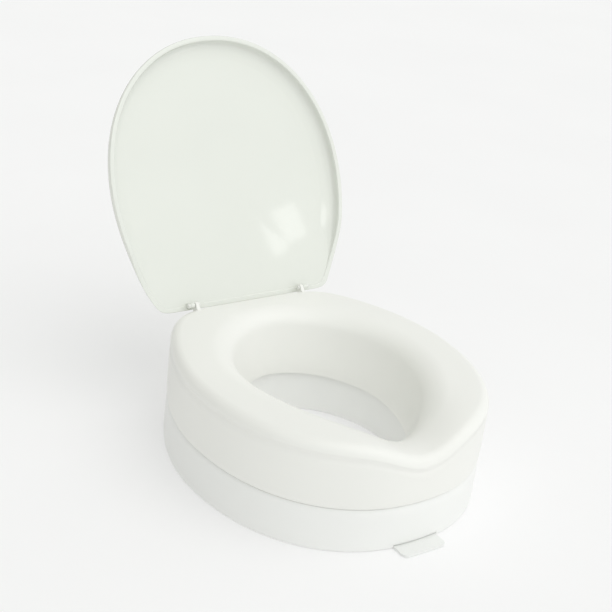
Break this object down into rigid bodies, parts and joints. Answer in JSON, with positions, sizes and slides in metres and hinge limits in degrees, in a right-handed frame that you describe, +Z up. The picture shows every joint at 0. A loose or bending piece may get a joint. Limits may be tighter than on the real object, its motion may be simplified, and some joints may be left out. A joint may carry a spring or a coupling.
{
  "type": "raised toilet seat",
  "caption": "Raised toilet seat: a hollow two-part moulded ring with a lipped hinged lid, deep splash walls and sliding screw clamps that grip the bowl's rim.",
  "frame": {"origin": "on the plane of the skirt's lower edge, midway across the seat and midway between the front clamp's toe and the back of the open lid", "axes": "+X across the seat to the user's left when sitting, -Y towards the front of the seat, +Y towards the hinges, +Z up"},
  "size_m": [0.37, 0.5829, 0.4529],
  "materials": {
    "seat_white": "glossy, warm white",
    "base_white": "glossy, neutral white",
    "lid_white": "glossy, faintly green white",
    "pin_white": "satin",
    "bracket_white": "satin",
    "bearing_grey": "matt",
    "knob_grey": "matt, fine texture",
    "grip_rubber": "matt",
    "zinc_steel": "zinc plated"
  },
  "bodies": {
    "seat": {"seat_shell": "seat_white", "base_shell": "base_white", "hinge_bush_l": "bearing_grey", "hinge_bush_r": "bearing_grey", "clamp_nuts": "zinc_steel", "rim_pads": "grip_rubber", "shell_screws": "zinc_steel"},
    "lid": {"lid": "lid_white", "hinge_pin_l": "pin_white", "hinge_pin_r": "pin_white", "pin_cap_l": "pin_white", "pin_cap_r": "pin_white"},
    "front_bracket": {"front_bracket": "bracket_white", "front_jaw_pads": "grip_rubber"},
    "side_l_bracket": {"side_bracket_l": "bracket_white", "side_jaw_pad_l": "grip_rubber"},
    "side_r_bracket": {"side_bracket_r": "bracket_white", "side_jaw_pad_r": "grip_rubber"},
    "front_washer": {"front_washer": "bearing_grey"},
    "side_l_washer": {"side_washer_l": "bearing_grey"},
    "side_r_washer": {"side_washer_r": "bearing_grey"},
    "front_knob": {"front_knob": "knob_grey"},
    "side_l_knob": {"side_knob_l": "knob_grey"},
    "side_r_knob": {"side_knob_r": "knob_grey"}
  },
  "joints": [
    {"name": "lid_hinge", "type": "hinge", "parent": "seat", "child": "lid", "pos_m": [0, 0.12191, 0.1436], "axis": [1, 0, 0], "range_deg": [0, 117.5]},
    {"name": "front_bracket_slide", "type": "slide", "parent": "seat", "child": "front_bracket", "axis": [0, 1, 0], "range_m": [0, 0.01]},
    {"name": "front_screw_travel", "type": "slide", "parent": "seat", "child": "front_washer", "axis": [0, 0, -1], "range_m": [0, 0.0025]},
    {"name": "front_knob_turn", "type": "hinge", "parent": "front_washer", "child": "front_knob", "pos_m": [0, -0.23794, 0.014], "axis": [0, 0, -1], "range_deg": [0, 720]},
    {"name": "side_l_bracket_slide", "type": "slide", "parent": "seat", "child": "side_l_bracket", "axis": [1, 0, 0], "range_m": [0, 0.012]},
    {"name": "side_l_screw_travel", "type": "slide", "parent": "seat", "child": "side_l_washer", "axis": [0, 0, -1], "range_m": [0, 0.0025]},
    {"name": "side_l_knob_turn", "type": "hinge", "parent": "side_l_washer", "child": "side_l_knob", "pos_m": [-0.14, -0.04794, 0.014], "axis": [0, 0, -1], "range_deg": [0, 720]},
    {"name": "side_r_bracket_slide", "type": "slide", "parent": "seat", "child": "side_r_bracket", "axis": [-1, 0, 0], "range_m": [0, 0.012]},
    {"name": "side_r_screw_travel", "type": "slide", "parent": "seat", "child": "side_r_washer", "axis": [0, 0, -1], "range_m": [0, 0.0025]},
    {"name": "side_r_knob_turn", "type": "hinge", "parent": "side_r_washer", "child": "side_r_knob", "pos_m": [0.14, -0.04794, 0.014], "axis": [0, 0, -1], "range_deg": [0, 720]}
  ],
  "couplings": [
    {"joint": "front_screw_travel", "follows": "front_knob_turn", "m_per_rad": 0.00019894},
    {"joint": "side_l_screw_travel", "follows": "side_l_knob_turn", "m_per_rad": 0.00019894},
    {"joint": "side_r_screw_travel", "follows": "side_r_knob_turn", "m_per_rad": 0.00019894}
  ]
}
